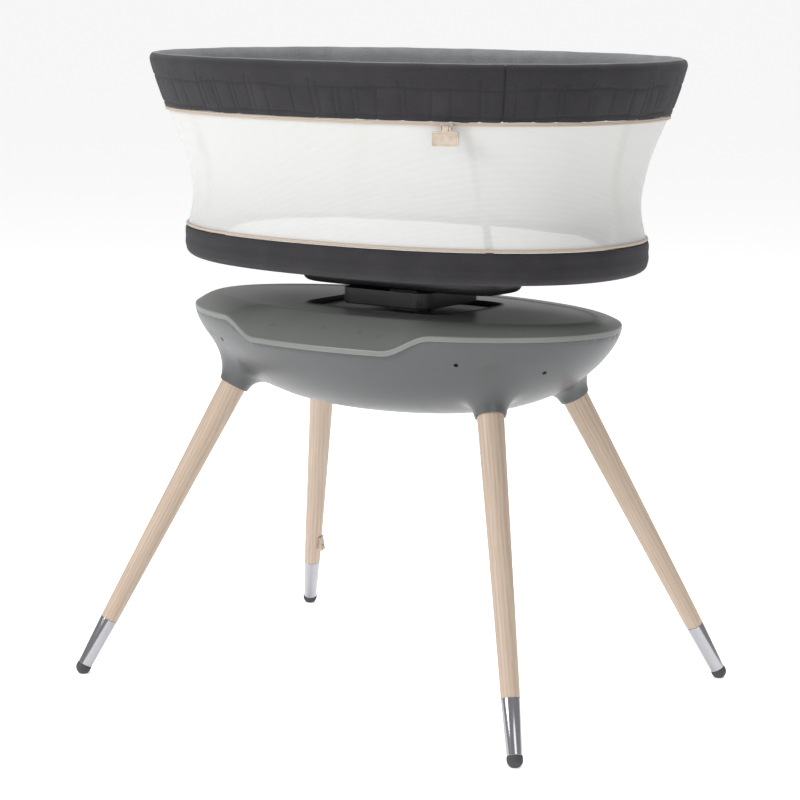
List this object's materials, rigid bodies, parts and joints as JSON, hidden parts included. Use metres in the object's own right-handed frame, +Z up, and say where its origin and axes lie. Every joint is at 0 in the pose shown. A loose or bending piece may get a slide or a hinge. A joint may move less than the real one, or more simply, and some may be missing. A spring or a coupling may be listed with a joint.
{
  "type": "bassinet on stand",
  "caption": "Oval baby bassinet with mesh sides and fabric bands on a powered base that glides and lifts it, standing on splayed wooden legs with metal ferrules.",
  "frame": {"origin": "on the floor, under the middle of the parked basket", "axes": "+Z up, +X along the basket to the right of its control lip, -Y out of the side with the control lip"},
  "size_m": [0.845, 0.5882, 0.95],
  "materials": {
    "natural_wood": "satin clear lacquer",
    "polished_metal": "polished",
    "foot_rubber": "matte",
    "base_plastic": "satin moulded",
    "dark_plastic": "fine texture",
    "pale_plastic": "satin",
    "steel": "ground",
    "circuit": "solder mask",
    "charcoal_fabric": "quilted and ribbed weave",
    "mesh_fabric": "open knit mesh",
    "tan_trim": "woven tape and moulded tab",
    "mattress_fabric": "quilted cotton"
  },
  "bodies": {
    "stand": {"rubber_foot_front_left": "foot_rubber", "leg_ferrule_front_left": "polished_metal", "wood_leg_front_left": "natural_wood", "case_screw_front_left_1": "steel", "case_screw_front_left_2": "steel", "rubber_foot_front_right": "foot_rubber", "leg_ferrule_front_right": "polished_metal", "wood_leg_front_right": "natural_wood", "case_screw_front_right_1": "steel", "case_screw_front_right_2": "steel", "rubber_foot_rear_right": "foot_rubber", "leg_ferrule_rear_right": "polished_metal", "wood_leg_rear_right": "natural_wood", "case_screw_rear_right_1": "steel", "case_screw_rear_right_2": "steel", "rubber_foot_rear_left": "foot_rubber", "leg_ferrule_rear_left": "polished_metal", "wood_leg_rear_left": "natural_wood", "case_screw_rear_left_1": "steel", "case_screw_rear_left_2": "steel", "power_inlet_housing": "natural_wood", "base_bowl": "base_plastic", "base_cover": "base_plastic", "opening_liner": "dark_plastic", "rail_plate_left": "dark_plastic", "rail_plate_right": "dark_plastic", "glide_rod_front": "steel", "glide_rod_rear": "steel", "glide_bracket": "dark_plastic", "glide_motor": "steel", "control_board": "circuit"},
    "glide_gear": {"glide_pinion": "dark_plastic"},
    "carriage": {"carriage": "dark_plastic", "glide_rack": "pale_plastic", "shutter_plate": "pale_plastic", "lift_motor": "steel", "glide_bush_front_left": "steel", "glide_bush_front_right": "steel", "glide_bush_rear_right": "steel", "glide_bush_rear_left": "steel"},
    "lift_gear": {"lift_pinion": "dark_plastic"},
    "basket": {"lift_column": "steel", "lift_rack": "pale_plastic", "pedestal_block": "dark_plastic", "basket_hub": "dark_plastic", "basket_tray": "dark_plastic", "lower_band": "charcoal_fabric", "lower_piping": "tan_trim", "mesh_wall": "mesh_fabric", "zip_tape": "tan_trim", "upper_band": "charcoal_fabric", "upper_frame_tube": "steel", "mattress_board": "dark_plastic", "mattress": "mattress_fabric", "side_strut_front_left": "pale_plastic", "side_strut_front_right": "pale_plastic", "side_strut_rear_right": "pale_plastic", "side_strut_rear_left": "pale_plastic"},
    "zip_slider": {"zip_slider": "tan_trim"},
    "pull_tab": {"pull_tab": "tan_trim"}
  },
  "joints": [
    {"name": "glide", "type": "slide", "parent": "stand", "child": "carriage", "axis": [1, 0, 0], "range_m": [-0.06, 0.03]},
    {"name": "glide_spin", "type": "hinge", "parent": "stand", "child": "glide_gear", "pos_m": [-0.015, 0.118, 0.534], "axis": [0, 0, 1], "range_deg": [-230, 115.5]},
    {"name": "lift", "type": "slide", "parent": "carriage", "child": "basket", "axis": [0, 0, 1], "range_m": [0, 0.035]},
    {"name": "lift_spin", "type": "hinge", "parent": "carriage", "child": "lift_gear", "pos_m": [0.046, 0, 0.504], "axis": [0, 1, 0], "range_deg": [0, 168]},
    {"name": "zip_travel", "type": "hinge", "parent": "basket", "child": "zip_slider", "pos_m": [0.08126, 0.14158, 0.86], "axis": [0, 0, 1], "range_deg": [-5, 5]},
    {"name": "pull_swing", "type": "hinge", "parent": "zip_slider", "child": "pull_tab", "pos_m": [0.22997, -0.24178, 0.8565], "axis": [-0.9323, -0.3616, 0], "range_deg": [0, 110]}
  ],
  "couplings": [
    {"joint": "glide_spin", "follows": "glide", "rad_per_m": 66.667},
    {"joint": "lift_spin", "follows": "lift", "rad_per_m": 83.333}
  ]
}
